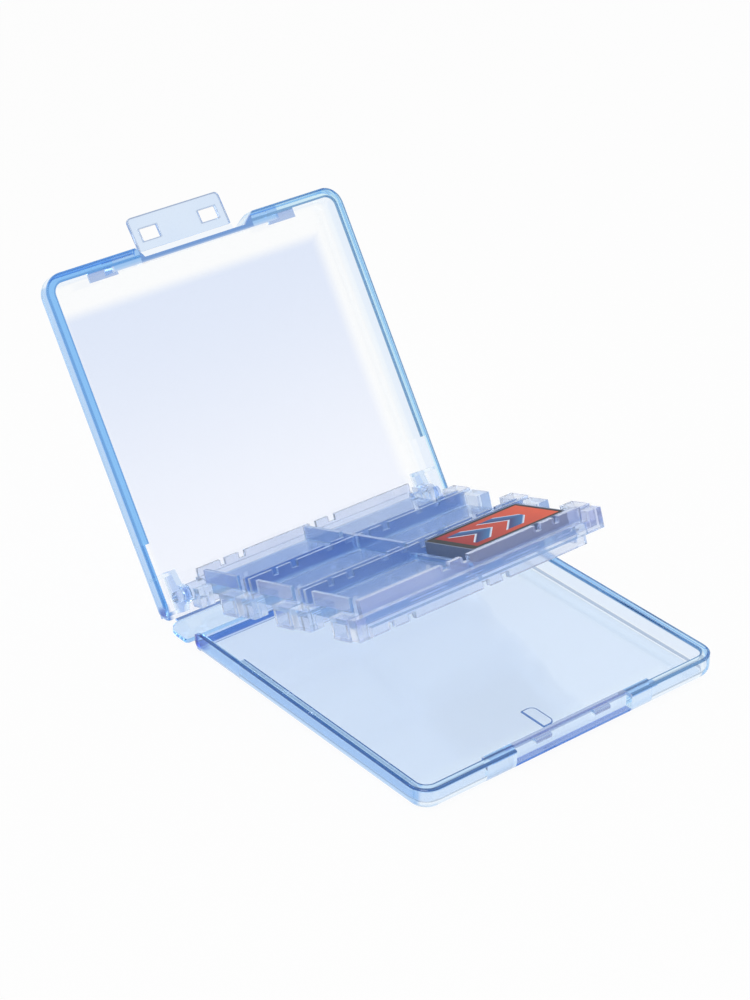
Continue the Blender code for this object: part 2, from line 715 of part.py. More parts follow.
def build():
    clear_scene()
    # a strip stands half turned in the shut case, between its shell and the upright spine
    rise = 2 * WEB_LENGTH * math.sin(math.radians(WEB_CLOSED_DEG))
    spine_length = CASE_THICKNESS - 2 * HINGE_HEIGHT - rise
    flat_line = 2 * WEB_LENGTH + spine_length
    to_origin = Matrix.Translation(Vector((0, SHELL_LENGTH / 2, 0)))
    lid_back = Matrix.Translation(Vector((0, 0, HINGE_HEIGHT - CASE_THICKNESS)))
    lid_turn = Matrix.Rotation(math.radians(-LID_OPEN_DEG), 4, "X")
    lid_there = Matrix.Translation(Vector((0, flat_line, HINGE_HEIGHT)))
    lid_place = to_origin @ lid_there @ lid_turn @ lid_back
    fold_y = -SHELL_LENGTH + FLAP_THICKNESS
    fold_z = CASE_THICKNESS - FLAP_SET_BACK - FLAP_THICKNESS
    flap_place = lid_place @ turn_about(fold_y, fold_z, -FLAP_LEAN_DEG)
    pin = lid_place @ Vector((0, -PIN_FROM_HINGE, HALF_THICKNESS))
    tray_place = Matrix.Translation(pin) @ Matrix.Rotation(math.radians(-TRAY_TILT_DEG), 4, "X")

    shell = material("base_plastic", (0.62, 0.76, 0.94), 0.08, 0.45, 0.6)
    lid_surface = material("lid_plastic", (0.66, 0.79, 0.95), 0.08, 0.45, 0.6)
    spine_surface = material("spine_plastic", (0.60, 0.74, 0.93), 0.10, 0.45, 0.6)
    base_web_surface = material("base_web_plastic", (0.40, 0.58, 0.88), 0.15, 0.55, 0.6)
    lid_web_surface = material("lid_web_plastic", (0.42, 0.60, 0.88), 0.15, 0.55, 0.6)
    flap_surface = material("flap_plastic", (0.82, 0.88, 0.97), 0.10, 0.45, 0.6)
    tray_surface = material("tray_plastic", (0.60, 0.68, 0.92), 0.20, 0.60, 0.6)
    card_surface = material("card_plastic", (0.36, 0.39, 0.44), 0.45, 1.0, 0.0)
    label_surface = material("label_print", (0.70, 0.16, 0.14), 0.35, 1.0, 0.0)

    finish(base_shell(), "base_shell", shell, to_origin)
    finish(web("web", BASE_WEB_HALF_WIDTH, 0), "base_hinge_web", base_web_surface, to_origin)
    finish(spine(spine_length), "spine_panel", spine_surface, to_origin)
    lid_web = web("web", LID_WEB_HALF_WIDTH, WEB_LENGTH + spine_length)
    finish(lid_web, "lid_hinge_web", lid_web_surface, to_origin)
    finish(turned_over(lid_shell()), "lid_shell", lid_surface, lid_place)
    finish(flap(), "latch_flap", flap_surface, flap_place)
    finish(tray(), "card_tray", tray_surface, tray_place)
    finish(card(), "game_card", card_surface, tray_place)
    finish(label(), "card_label", label_surface, tray_place)


build()
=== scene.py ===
import math

import bpy
from mathutils import Matrix, Vector


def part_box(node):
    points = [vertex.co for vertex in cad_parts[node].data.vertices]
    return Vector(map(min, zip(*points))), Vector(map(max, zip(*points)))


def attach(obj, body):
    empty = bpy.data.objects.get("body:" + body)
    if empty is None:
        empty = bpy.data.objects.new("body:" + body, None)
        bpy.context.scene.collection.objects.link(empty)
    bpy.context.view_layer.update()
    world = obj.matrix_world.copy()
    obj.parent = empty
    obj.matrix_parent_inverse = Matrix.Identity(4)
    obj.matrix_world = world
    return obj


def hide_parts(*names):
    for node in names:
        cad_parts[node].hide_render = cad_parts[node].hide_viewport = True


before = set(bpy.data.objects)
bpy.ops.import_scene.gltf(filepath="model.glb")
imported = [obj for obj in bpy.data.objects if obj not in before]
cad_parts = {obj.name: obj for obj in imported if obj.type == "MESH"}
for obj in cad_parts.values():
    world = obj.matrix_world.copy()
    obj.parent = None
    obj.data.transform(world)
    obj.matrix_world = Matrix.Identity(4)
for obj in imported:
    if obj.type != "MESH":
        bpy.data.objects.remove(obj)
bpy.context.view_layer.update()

MM = 0.001

# Camera, from both shells' outlines and the card's corners: angles in degrees, lens and sensor in mm
CAMERA_AIM = Vector((37.04, 78.44, 0.0)) * MM
CAMERA_AZIMUTH = -37.91
CAMERA_ELEVATION = 29.62
CAMERA_ROLL = -0.92
CAMERA_DISTANCE = 773.32 * MM
CAMERA_LENS = 97.92
CAMERA_NEAR = 0.01
CAMERA_FAR = 20.0
SENSOR = 36.0

# Studio: the light that falls on the case, and the white that the camera sees round it
SOFT_LIGHT = 0.65
SEEN_WHITE = 1.0
WHITE = (1.0, 1.0, 1.0, 1.0)
PAPER_GREY = (0.9, 0.9, 0.9, 1.0)
PAPER_GLOW_SHARE = 0.92
FLOOR_SIZE = 6.0
FLOOR_DROP = 0.02 * MM
LAMP_AIM = Vector((0.0, 0.05, 0.03))
KEY_SOFTBOX = {"place": (-0.7, -0.5, 1.1), "size": 0.7, "power": 5.0}
SIDE_SOFTBOX = {"place": (0.9, -0.3, 0.7), "size": 0.5, "power": 2.0}
BOUNCES = 24

# Own frames of the pieces: a place on the axis and the tilt about it, which the photographed pose gives
BASE_HINGE = Vector((0.0, 47.9, 0.3)) * MM
LID_HINGE = Vector((0.0, 61.889, 0.3)) * MM
LID_TURN = -122.64
TRAY_PIN = Vector((0.0, 59.562, 8.4406)) * MM
TRAY_TILT = -18.45
FLAP_FOLD = Vector((0.0, 111.4805, 80.8773)) * MM
FLAP_TURN = -128.64

# Clear plastic: its refraction, the flow in it, and how often light turns inside before it comes out
PLASTIC_IOR = 1.49
FLOW_SIZE = 9 * MM
CLOUD_SIZE = 14.0
TURNS_INSIDE = 6.0
LET_THROUGH = (0.95, 0.97, 1.0, 1.0)
CLEAR = 1.0
TRAY_CLEAR_SHARE = 0.84
WAVE = 0.004
STRIP_WAVE = 0.002

# Roughness of the polished walls, and how much the flow adds to it where it is thickest
SHELL_HAZE = 0.03
PANEL_ROUGHNESS = 0.09
SPINE_ROUGHNESS = 0.0
SPINE_HAZE = 0.03
STRIP_ROUGHNESS = 0.02
STRIP_HAZE = 0.04
FLAP_ROUGHNESS = 0.03
FLAP_HAZE = 0.04
TRAY_ROUGHNESS = 0.05
TRAY_HAZE = 0.08

# What each piece's plastic absorbs per metre, in red, green and blue
SHELL_ABSORBS = (16.0, 7.0, 1.0)
STRIP_ABSORBS = (50.0, 22.0, 4.0)
FLAP_ABSORBS = (60.0, 34.0, 6.0)
TRAY_ABSORBS = (22.0, 10.0, 2.0)

# Shells in their own frames, in millimetres from the hinge. A pair is where a tint starts and is full
SHELL_HALF_WIDTH = 48.5
SHELL_LENGTH = 95.8
SHELL_CORNER = 5.5
PANEL_DRIFT = (5.0, 90.0)
# where the painted shade of the left side fades out towards the right
SHADE_FADE_RIGHTWARD = (-16.0, 46.0)
# a painted glow: a pale band inside the rim at the front, the right and the sides
GLOW_MARGIN_FRONT = (82.0, 86.0)
GLOW_MARGIN_RIGHT = (37.0, 42.0)
GLOW_MARGIN_SIDES = (42.0, 45.0)
WALL_HEIGHT = (1.1, 2.4)
WALL_INSET = (-3.6, -2.6)
# the side walls are painted bluer than the front wall as painted shade
SIDE_FACE = (47.3, 47.9)
SIDE_SHARE = (0.4, 0.6)
RIM_INSET = (-2.9, -2.6)
RIM_HEIGHT = (5.2, 5.8)
# painted dark shade lines along the rim's outer and inner edges
OUTER_LINE_SOFTNESS = 0.25
OUTER_LINE_HEIGHT = (5.65, 5.85)
INNER_LINE_SOFTNESS = 0.2
INNER_LINE_INSET = (-3.1, -2.7)
INNER_LINE_HEIGHT = (5.4, 5.8)
LEDGE_INSET = (-2.6, -2.9)
LEDGE_FORWARD = (89.4, 90.2)
LEDGE_HEIGHT = (5.0, 5.2)
LATCH_RIM_FORWARD = (91.0, 92.5)
LATCH_RIM_SIDE = (27.2, 26.8)
LATCH_RIM_HEIGHT = (5.2, 5.7)
LATCH_BAR_FORWARD = (91.0, 92.2)
LATCH_BAR_SIDE = (18.6, 18.2)
LATCH_BAR_HEIGHT = (5.0, 5.4)
FOOT_SIDE = (43.5, 45.5)
FOOT_FORWARD = (5.0, 2.5)
EAR_INNER = (40.7, 41.0)
EAR_OUTER = (43.6, 43.2)
EAR_FORWARD = (16.0, 15.0)
EAR_HEIGHT = (1.5, 2.0)
HINGE_BAR_FORWARD = (-3.6, -3.0)
HINGE_BAR_HEIGHT = (0.6, 0.8)
# a painted grey shade band low round the inside of the outline, at the foot of the walls
UNDER_INNER = (-2.5, -2.0)
UNDER_OUTER = (-1.0, -1.3)
UNDER_HEIGHT = (0.75, 0.45)
# a painted shade line along the front lip of the base
LIP_FORWARD = (93.3, 93.6)
LIP_HEIGHT = (2.2, 1.9)
LIP_SIDE = (19.0, 18.6)

# Raised mark on the base's floor, with a painted dark shade line along its bow and its flat side
MARK_FORWARD = 82.35
MARK_LEFT = -2.6
MARK_HALF_LENGTH = 4.35
MARK_WIDTH = 3.9
MARK_ROUNDING = 1.9
MARK_HEIGHT = (0.6, 0.7)
MARK_BOW_INNER = (-0.4, -0.25)
MARK_BOW_OUTER = (0.15, 0.0)
MARK_FLAT_OUTER = (-0.2, 0.0)
MARK_FLAT_INNER = (0.45, 0.3)

# Tints of the shells. The rims run from azure at the left to pale cyan at the right, the left painted deeper
# as shade and the right paler as painted light
WALL_TINT = "#F6FAFF"
# painted shade on the side walls, deeper at the left than at the right
LEFT_SIDE_PAINTED_SHADE = "#90BCF0"
RIGHT_SIDE_PAINTED_SHADE = "#E2ECFB"
EAR_TINT = "#C2D6F4"
LEDGE_TINT = "#B0C3E6"
LATCH_RIM_TINT = "#6CA4E8"
FOOT_TINT = "#5E8CD6"
# painted grey shade band at the foot of the walls
UNDER_SHADE_TINT = "#93A5C0"
# painted dark shade line round the raised mark
MARK_SHADE_TINT = "#2A4E9C"
# painted shade line along the front lip
LIP_SHADE_TINT = "#7C8CD0"
BASE_TINTS = {
    "near_hinge": "#DAE8FB",
    "near_front": "#DBE9FB",
    # painted glow inside the rim
    "painted_glow_margin": "#DEECFC",
    # rim tints: the left painted deeper as shade, the right paler as painted light
    "left_rim_tint_and_shade": "#A8D2F8",
    "right_rim_tint_and_light": "#D6EEFA",
    # painted dark shade lines along the rim's edges
    "left_shade_line": "#0C3072",
    "right_shade_line": "#2C5C98",
    "hinge_bar": "#1C46B0",
    "latch_bar": "#8898C4",
}
LID_TINTS = {
    "near_hinge": "#F5F7FF",
    "near_front": "#E2EAFB",
    # painted glow inside the rim
    "painted_glow_margin": "#FFFFFF",
    # rim tints: the left painted deeper as shade, the right paler as painted light
    "left_rim_tint_and_shade": "#4C98EE",
    "right_rim_tint_and_light": "#C8EEF6",
    # painted dark shade lines along the rim's edges
    "left_shade_line": "#2C6CC4",
    "right_shade_line": "#3C6CA0",
    "hinge_bar": "#9CC0F4",
    "latch_bar": "#3460B0",
}
# How far the outer painted shade line reaches in from the outline, and where the inner one starts
BASE_SHADE_LINES = (0.7, 1.9)
LID_SHADE_LINES = (0.5, 1.95)

# Flap in its own frame, in millimetres from the fold and from the latch's middle
LATCH_MIDDLE = -0.5
FLAP_HALF_WIDTH = 15.0
FLAP_LENGTH = 9.8
FLAP_CORNER = 1.4
# painted grey shade lines along the flap's edge and round its windows
FLAP_EDGE_SHADE = (-0.4, -0.2)
WINDOW_ASIDE = 9.6
WINDOW_FORWARD = 4.4
WINDOW_LINE_ASIDE = (3.15, 2.95)
WINDOW_LINE_FORWARD = (2.1, 1.9)

# Tray in its own frame, in millimetres from the pins' axis; its rows of pockets run towards -Y
POCKETS_HALF_WIDTH = 35.5
POCKETS_MIDDLE = -36.0
POCKETS_HALF_LENGTH = 35.6
UPPER_POCKETS = (-1.4, -0.6)
# where the rear-left pocket is painted darker as shade
REAR_ROW = (-24.0, -21.0)
LEFT_HALF = (1.0, -12.0)
FRONT_WALL = (-71.2, -71.8)
FRONT_WALL_HEIGHT = (-1.0, 0.0)

# Card, with a moulded grain drawn as coarse as it needs to show
CARD_GRAIN = 0.4 * MM
CARD_GRAIN_HEIGHT = 0.03 * MM

# Label in its own frame, in millimetres from its middle: a border, a ground and arrows
INK_CLOUD = 5 * MM
INK_DRIFT = 9.0
GROUND_RED_END = -8.0
GROUND_ORANGE_END = 18.0
ARROW_SLOPE = 0.9
ARROW_START = 40.0
ARROW_PITCH = 11.0
ARROW_INKS = ((0.08, "#D8E6FA"), (0.12, "#141F6A"), (0.50, "#1E6FAE"), (0.55, "#D8E6FA"))
ARROW_MIDDLE_SHARE = 0.31
ARROW_HALF_SHARE = 0.27
ARROW_HALF_HEIGHT = 6.4
ARROWS_MIDDLE = -0.9
ARROWS_HALF_LENGTH = 10.2
PICTURE_MIDDLE = 0.7
PICTURE_HALF_LENGTH = 13.6
PICTURE_HALF_WIDTH = 8.9

# Softened edges: vertices closer than this are one, and flatter edges than this are dissolved
MERGE_WITHIN = 0.000002
FLAT_ANGLE = 0.6
SHARP_ANGLE = 40.0
SMOOTH_ANGLE = 35.0
EDGE_SEGMENTS = 2
SHELL_EDGE = 0.15 * MM
TRAY_EDGE = 0.15 * MM
SPINE_EDGE = 0.2 * MM
CARD_EDGE = 0.2 * MM
THIN_EDGE = 0.1 * MM


def linear(colour):
    """An sRGB hex colour as linear red, green, blue and a full alpha."""
    parts = [int(colour[i:i + 2], 16) / 255 for i in (1, 3, 5)]
    return tuple(c / 12.92 if c <= 0.04045 else ((c + 0.055) / 1.055) ** 2.4 for c in parts) + (1.0,)


def add(tree, kind, inputs=None, **settings):
    """Adds a node, sets it and joins or fills its inputs."""
    made = tree.nodes.new(kind)
    for name, value in settings.items():
        setattr(made, name, value)
    for socket, value in (inputs or {}).items():
        if isinstance(value, bpy.types.NodeSocket):
            tree.links.new(value, made.inputs[socket])
        else:
            made.inputs[socket].default_value = value
    return made


def new_material(name):
    made = bpy.data.materials.new(name)
    made.use_nodes = True
    made.node_tree.nodes.clear()
    return made, made.node_tree


def zone(tree, operation, *rules):
    """1 inside a zone with soft edges. A rule is a value and the pair where its edge starts and is full."""
    whole = None
    for value, (start, full) in rules:
        edge = add(tree, "ShaderNodeMapRange", {
            "Value": value, "From Min": start, "From Max": full, "To Min": 0.0, "To Max": 1.0,
        }, interpolation_type="SMOOTHSTEP")
        edge = edge.outputs["Result"]
        if whole is not None:
            edge = add(tree, "ShaderNodeMath", {0: whole, 1: edge}, operation=operation).outputs[0]
        whole = edge
    return whole


def from_outline(tree, across, forward, half_width, length, radius):
    """Millimetres from a plate's outline with round front corners, below zero inside it."""
    beside = add(tree, "ShaderNodeMath", {0: across, 1: half_width - radius}, operation="SUBTRACT")
    beyond = add(tree, "ShaderNodeMath", {0: forward, 1: length - radius}, operation="SUBTRACT")
    beside, beyond = beside.outputs[0], beyond.outputs[0]
    corner = add(tree, "ShaderNodeCombineXYZ", {"X": beside, "Y": beyond})
    corner = add(tree, "ShaderNodeVectorMath", {
        0: corner.outputs[0], 1: (0.0, 0.0, 0.0),
    }, operation="MAXIMUM")
    corner = add(tree, "ShaderNodeVectorMath", {0: corner.outputs[0]}, operation="LENGTH")
    flat = add(tree, "ShaderNodeMath", {0: beside, 1: beyond}, operation="MAXIMUM")
    flat = add(tree, "ShaderNodeMath", {0: flat.outputs[0], 1: 0.0}, operation="MINIMUM")
    whole = add(tree, "ShaderNodeMath", {0: corner.outputs["Value"], 1: flat.outputs[0]}, operation="ADD")
    return add(tree, "ShaderNodeMath", {0: whole.outputs[0], 1: radius}, operation="SUBTRACT").outputs[0]


def layered(tree, ground, layers):
    """Lays colours over a ground colour, each where its share is 1. A colour is a hex value or a socket."""
    colour = linear(ground) if isinstance(ground, str) else ground
    for share, over in layers:
        over = linear(over) if isinstance(over, str) else over
        mixed = add(tree, "ShaderNodeMix", {0: share, 6: colour, 7: over}, data_type="RGBA")
        colour = mixed.outputs[2]
    return colour


def in_frame(tree, middle, turn):
    """Object coordinates in millimetres from a line across the case, turned with the piece."""
    place = add(tree, "ShaderNodeTexCoord").outputs["Object"]
    own = add(tree, "ShaderNodeMapping", {
        "Vector": place,
        "Location": tuple(middle),
        "Rotation": (math.radians(turn), 0.0, 0.0),
        "Scale": (MM, MM, MM),
    }, vector_type="TEXTURE")
    return own.outputs[0]


def clear_plastic(tree, tint, gloss, haze, wave, through, absorbed):
    """Clear moulded plastic: smooth walls with a slow wave, and more colour the longer the way through."""
    place = add(tree, "ShaderNodeTexCoord").outputs["Object"]
    flow = add(tree, "ShaderNodeTexNoise", {"Vector": place, "Scale": 1 / FLOW_SIZE, "Detail": 2.0})
    flow = flow.outputs["Fac"]
    spread = add(tree, "ShaderNodeMath", {0: flow, 1: haze, 2: gloss}, operation="MULTIPLY_ADD")
    bump = add(tree, "ShaderNodeBump", {"Height": flow, "Strength": 1.0, "Distance": wave * MM})
    body = add(tree, "ShaderNodeBsdfPrincipled", {
        "Base Color": tint,
        "Roughness": spread.outputs[0],
        "IOR": PLASTIC_IOR,
        "Transmission Weight": through,
        "Normal": bump.outputs["Normal"],
    })
    # lamps reach what lies behind the clear wall, and light that has gone round inside it comes out
    path = add(tree, "ShaderNodeLightPath").outputs
    deep = add(tree, "ShaderNodeMath", {0: path["Ray Depth"], 1: TURNS_INSIDE}, operation="GREATER_THAN")
    let_by = add(tree, "ShaderNodeMath", {0: path["Is Shadow Ray"], 1: deep.outputs[0]}, operation="MAXIMUM")
    clear = add(tree, "ShaderNodeBsdfTransparent", {"Color": LET_THROUGH})
    both = add(tree, "ShaderNodeMixShader", {0: let_by.outputs[0], 1: body.outputs[0], 2: clear.outputs[0]})
    # a volume absorbs its density times what its colour lacks of white
    most = max(absorbed)
    kept = tuple(1 - value / most for value in absorbed)
    depth = add(tree, "ShaderNodeVolumeAbsorption", {"Color": (*kept, 1.0), "Density": most})
    add(tree, "ShaderNodeOutputMaterial", {"Surface": both.outputs[0], "Volume": depth.outputs[0]})


def mark_shade_line(tree, own, forward):
    """1 along the outline of the raised mark on the base's floor, where a dark shade line is painted."""
    along = add(tree, "ShaderNodeMath", {0: forward, 1: MARK_FORWARD}, operation="SUBTRACT")
    along = add(tree, "ShaderNodeMath", {0: along.outputs[0]}, operation="ABSOLUTE").outputs[0]
    out = add(tree, "ShaderNodeMath", {0: own.outputs["X"], 1: -MARK_LEFT}, operation="ADD").outputs[0]
    outline = from_outline(tree, along, out, MARK_HALF_LENGTH, MARK_WIDTH, MARK_ROUNDING)
    raised = (own.outputs["Z"], MARK_HEIGHT)
    within = (outline, MARK_BOW_OUTER)
    right_of_flat = (out, MARK_FLAT_OUTER)
    bow = zone(tree, "MINIMUM", (outline, MARK_BOW_INNER), within, right_of_flat, raised)
    flat = zone(tree, "MINIMUM", within, right_of_flat, (out, MARK_FLAT_INNER), raised)
    return add(tree, "ShaderNodeMath", {0: bow, 1: flat}, operation="MAXIMUM").outputs[0]


def shell_plastic(name, hinge, turn, tints, shade_lines, with_mark):
    """Clear blue polystyrene, injection moulded: a pale panel in a rim whose edges gather light to azure,
    with a painted glow inside the rim, painted dark shade lines along the edges and round the mark, and side
    walls painted bluer as shade, deepest at the left.
    """
    made, tree = new_material(name)
    own = add(tree, "ShaderNodeSeparateXYZ", {"Vector": in_frame(tree, hinge, turn)})
    right, height = own.outputs["X"], own.outputs["Z"]
    across = add(tree, "ShaderNodeMath", {0: right}, operation="ABSOLUTE").outputs[0]
    forward = add(tree, "ShaderNodeMath", {0: own.outputs["Y"], 1: -1.0}, operation="MULTIPLY").outputs[0]
    outward = add(tree, "ShaderNodeMath", {0: height}, operation="ABSOLUTE").outputs[0]
    outline = from_outline(tree, across, forward, SHELL_HALF_WIDTH, SHELL_LENGTH, SHELL_CORNER)
    drift = zone(tree, "MAXIMUM", (forward, PANEL_DRIFT))
    # painted glow: a pale band inside the rim
    painted_glow_margin = zone(tree, "MAXIMUM", (forward, GLOW_MARGIN_FRONT), (right, GLOW_MARGIN_RIGHT), (across, GLOW_MARGIN_SIDES))
    walls = zone(tree, "MAXIMUM", (outward, WALL_HEIGHT), (outline, WALL_INSET))
    # painted shade: the side walls bluer than the front wall
    side_wall_shade = zone(tree, "MINIMUM", (across, SIDE_FACE), (walls, SIDE_SHARE))
    rim = zone(tree, "MINIMUM", (outline, RIM_INSET), (outward, RIM_HEIGHT))
    # painted shade: dark lines along the rim's outer and inner edges
    outer_line, inner_line = shade_lines
    outer_reach = (-outer_line - OUTER_LINE_SOFTNESS, -outer_line)
    inner_reach = (-inner_line, -inner_line - INNER_LINE_SOFTNESS)
    outer_shade_line = zone(tree, "MINIMUM", (outline, outer_reach), (outward, OUTER_LINE_HEIGHT))
    inner_shade_line = zone(
        tree, "MINIMUM", (outline, inner_reach), (outline, INNER_LINE_INSET), (outward, INNER_LINE_HEIGHT))
    edges = add(tree, "ShaderNodeMath", {0: outer_shade_line, 1: inner_shade_line}, operation="MAXIMUM").outputs[0]
    ledge = zone(tree, "MINIMUM", (outline, LEDGE_INSET), (forward, LEDGE_FORWARD), (outward, LEDGE_HEIGHT))
    latch_rim = zone(
        tree, "MINIMUM", (forward, LATCH_RIM_FORWARD), (across, LATCH_RIM_SIDE), (outward, LATCH_RIM_HEIGHT))
    latch_bar = zone(
        tree, "MINIMUM", (forward, LATCH_BAR_FORWARD), (across, LATCH_BAR_SIDE), (outward, LATCH_BAR_HEIGHT))
    foot = zone(tree, "MINIMUM", (across, FOOT_SIDE), (forward, FOOT_FORWARD))
    ear_rules = (across, EAR_INNER), (across, EAR_OUTER), (forward, EAR_FORWARD), (outward, EAR_HEIGHT)
    ears = zone(tree, "MINIMUM", *ear_rules)
    hinge_bar = zone(tree, "MINIMUM", (own.outputs["Y"], HINGE_BAR_FORWARD), (height, HINGE_BAR_HEIGHT))
    # painted shade, deepest on the left side and fading out towards the right
    shade_fade_rightward = zone(tree, "MINIMUM", (right, SHADE_FADE_RIGHTWARD))
    face = layered(tree, tints["left_rim_tint_and_shade"], ((shade_fade_rightward, tints["right_rim_tint_and_light"]),))
    line = layered(tree, tints["left_shade_line"], ((shade_fade_rightward, tints["right_shade_line"]),))
    sides = layered(tree, LEFT_SIDE_PAINTED_SHADE, ((shade_fade_rightward, RIGHT_SIDE_PAINTED_SHADE),))
    colour = layered(tree, tints["near_hinge"], (
        (drift, tints["near_front"]),
        (painted_glow_margin, tints["painted_glow_margin"]),
        (walls, WALL_TINT),
        (side_wall_shade, sides),
        (ears, EAR_TINT),
        (ledge, LEDGE_TINT),
        (rim, face),
        (latch_rim, LATCH_RIM_TINT),
        (edges, line),
        (latch_bar, tints["latch_bar"]),
        (foot, FOOT_TINT),
        (hinge_bar, tints["hinge_bar"]),
    ))
    if with_mark:
        # painted shade: a grey band at the foot of the walls
        under_shade = zone(
            tree, "MINIMUM", (outline, UNDER_INNER), (outline, UNDER_OUTER), (outward, UNDER_HEIGHT))
        # painted shade line along the front lip
        lip_shade = zone(tree, "MINIMUM", (forward, LIP_FORWARD), (height, LIP_HEIGHT), (across, LIP_SIDE))
        colour = layered(tree, colour, (
            (under_shade, UNDER_SHADE_TINT),
            # painted dark shade line round the raised mark
            (mark_shade_line(tree, own, forward), MARK_SHADE_TINT),
            (lip_shade, LIP_SHADE_TINT),
        ))
    gloss = add(tree, "ShaderNodeMapRange", {"Value": walls, "To Min": PANEL_ROUGHNESS, "To Max": 0.0})
    clear_plastic(tree, colour, gloss.outputs["Result"], SHELL_HAZE, WAVE, CLEAR, SHELL_ABSORBS)
    return made


def tinted_plastic(name, low, high, gloss, haze, wave):
    """Clear polystyrene with a milky cloud in it, which drifts between two tints as the melt flowed."""
    made, tree = new_material(name)
    place = add(tree, "ShaderNodeTexCoord").outputs["Object"]
    cloud = add(tree, "ShaderNodeTexNoise", {"Vector": place, "Scale": 1 / (CLOUD_SIZE * MM), "Detail": 2.0})
    colour = layered(tree, low, ((cloud.outputs["Fac"], high),))
    clear_plastic(tree, colour, gloss, haze, wave, CLEAR, STRIP_ABSORBS)
    return made


def flap_plastic(name):
    """Clear polystyrene, moulded thin: nearly colourless, with painted grey shade lines along its edge and
    round its windows.
    """
    made, tree = new_material(name)
    own = add(tree, "ShaderNodeSeparateXYZ", {"Vector": in_frame(tree, FLAP_FOLD, FLAP_TURN)})
    aside = add(tree, "ShaderNodeMath", {0: own.outputs["X"], 1: -LATCH_MIDDLE}, operation="ADD")
    across = add(tree, "ShaderNodeMath", {0: aside.outputs[0]}, operation="ABSOLUTE").outputs[0]
    forward = add(tree, "ShaderNodeMath", {0: own.outputs["Y"], 1: -1.0}, operation="MULTIPLY").outputs[0]
    outline = from_outline(tree, across, forward, FLAP_HALF_WIDTH, FLAP_LENGTH, FLAP_CORNER)
    place = add(tree, "ShaderNodeTexCoord").outputs["Object"]
    cloud = add(tree, "ShaderNodeTexNoise", {"Vector": place, "Scale": 1 / (CLOUD_SIZE * MM), "Detail": 2.0})
    window = add(tree, "ShaderNodeMath", {0: across, 1: WINDOW_ASIDE}, operation="SUBTRACT")
    window = add(tree, "ShaderNodeMath", {0: window.outputs[0]}, operation="ABSOLUTE")
    beyond = add(tree, "ShaderNodeMath", {0: forward, 1: WINDOW_FORWARD}, operation="SUBTRACT")
    beyond = add(tree, "ShaderNodeMath", {0: beyond.outputs[0]}, operation="ABSOLUTE")
    # painted shade: grey lines round the windows and along the flap's edge
    window_shade_line = zone(
        tree, "MINIMUM", (window.outputs[0], WINDOW_LINE_ASIDE), (beyond.outputs[0], WINDOW_LINE_FORWARD))
    colour = layered(tree, "#DCE9FA", (
        (cloud.outputs["Fac"], "#E6F0FC"),
        (zone(tree, "MAXIMUM", (outline, FLAP_EDGE_SHADE)), "#8E9DB8"),
        (window_shade_line, "#A5B4CE"),
    ))
    clear_plastic(tree, colour, FLAP_ROUGHNESS, FLAP_HAZE, WAVE, CLEAR, FLAP_ABSORBS)
    return made


def tray_plastic(name):
    """Milky blue polystyrene, injection moulded: bluer in the pockets, with painted shade in the rear-left
    pocket, nearly white at ledge and lugs.
    """
    made, tree = new_material(name)
    place = in_frame(tree, TRAY_PIN, TRAY_TILT)
    cloud = add(tree, "ShaderNodeTexNoise", {"Vector": place, "Scale": 1 / CLOUD_SIZE, "Detail": 2.0})
    cloud = cloud.outputs["Fac"]
    own = add(tree, "ShaderNodeSeparateXYZ", {"Vector": place})
    right, rearward, height = own.outputs["X"], own.outputs["Y"], own.outputs["Z"]
    ends = add(tree, "ShaderNodeMath", {0: right, 1: 0.0, 2: POCKETS_HALF_WIDTH}, operation="COMPARE")
    rows = add(tree, "ShaderNodeMath", {
        0: rearward, 1: POCKETS_MIDDLE, 2: POCKETS_HALF_LENGTH,
    }, operation="COMPARE")
    pockets = add(tree, "ShaderNodeMath", {0: ends.outputs[0], 1: rows.outputs[0]}, operation="MULTIPLY")
    upper = zone(tree, "MINIMUM", (height, UPPER_POCKETS))
    pockets = add(tree, "ShaderNodeMath", {0: pockets.outputs[0], 1: upper}, operation="MULTIPLY")
    # painted shade in the rear-left pocket
    rear_left_shade = zone(tree, "MINIMUM", (right, LEFT_HALF), (rearward, REAR_ROW))
    blue = layered(tree, "#A6BEE4", ((cloud, "#B6C9E8"), (rear_left_shade, "#84A8E0")))
    front_wall = zone(tree, "MINIMUM", (rearward, FRONT_WALL), (height, FRONT_WALL_HEIGHT))
    colour = layered(tree, "#E4EAF8", (
        (cloud, "#F0F3FC"),
        (pockets.outputs[0], blue),
        (front_wall, "#D6DAF2"),
    ))
    clear_plastic(tree, colour, TRAY_ROUGHNESS, TRAY_HAZE, WAVE, TRAY_CLEAR_SHARE, TRAY_ABSORBS)
    return made


def card_plastic(name):
    """Grey ABS, moulded with a fine matt grain that breaks up its highlights."""
    made, tree = new_material(name)
    place = add(tree, "ShaderNodeTexCoord").outputs["Object"]
    grain = add(tree, "ShaderNodeTexNoise", {"Vector": place, "Scale": 1 / CARD_GRAIN, "Detail": 3.0})
    colour = layered(tree, "#5E6E90", ((grain.outputs["Fac"], "#76849F"),))
    bump = add(tree, "ShaderNodeBump", {
        "Height": grain.outputs["Fac"], "Strength": 0.5, "Distance": CARD_GRAIN_HEIGHT,
    })
    body = add(tree, "ShaderNodeBsdfPrincipled", {
        "Base Color": colour, "Roughness": 0.42, "Normal": bump.outputs["Normal"],
    })
    add(tree, "ShaderNodeOutputMaterial", {"Surface": body.outputs[0]})
    return made


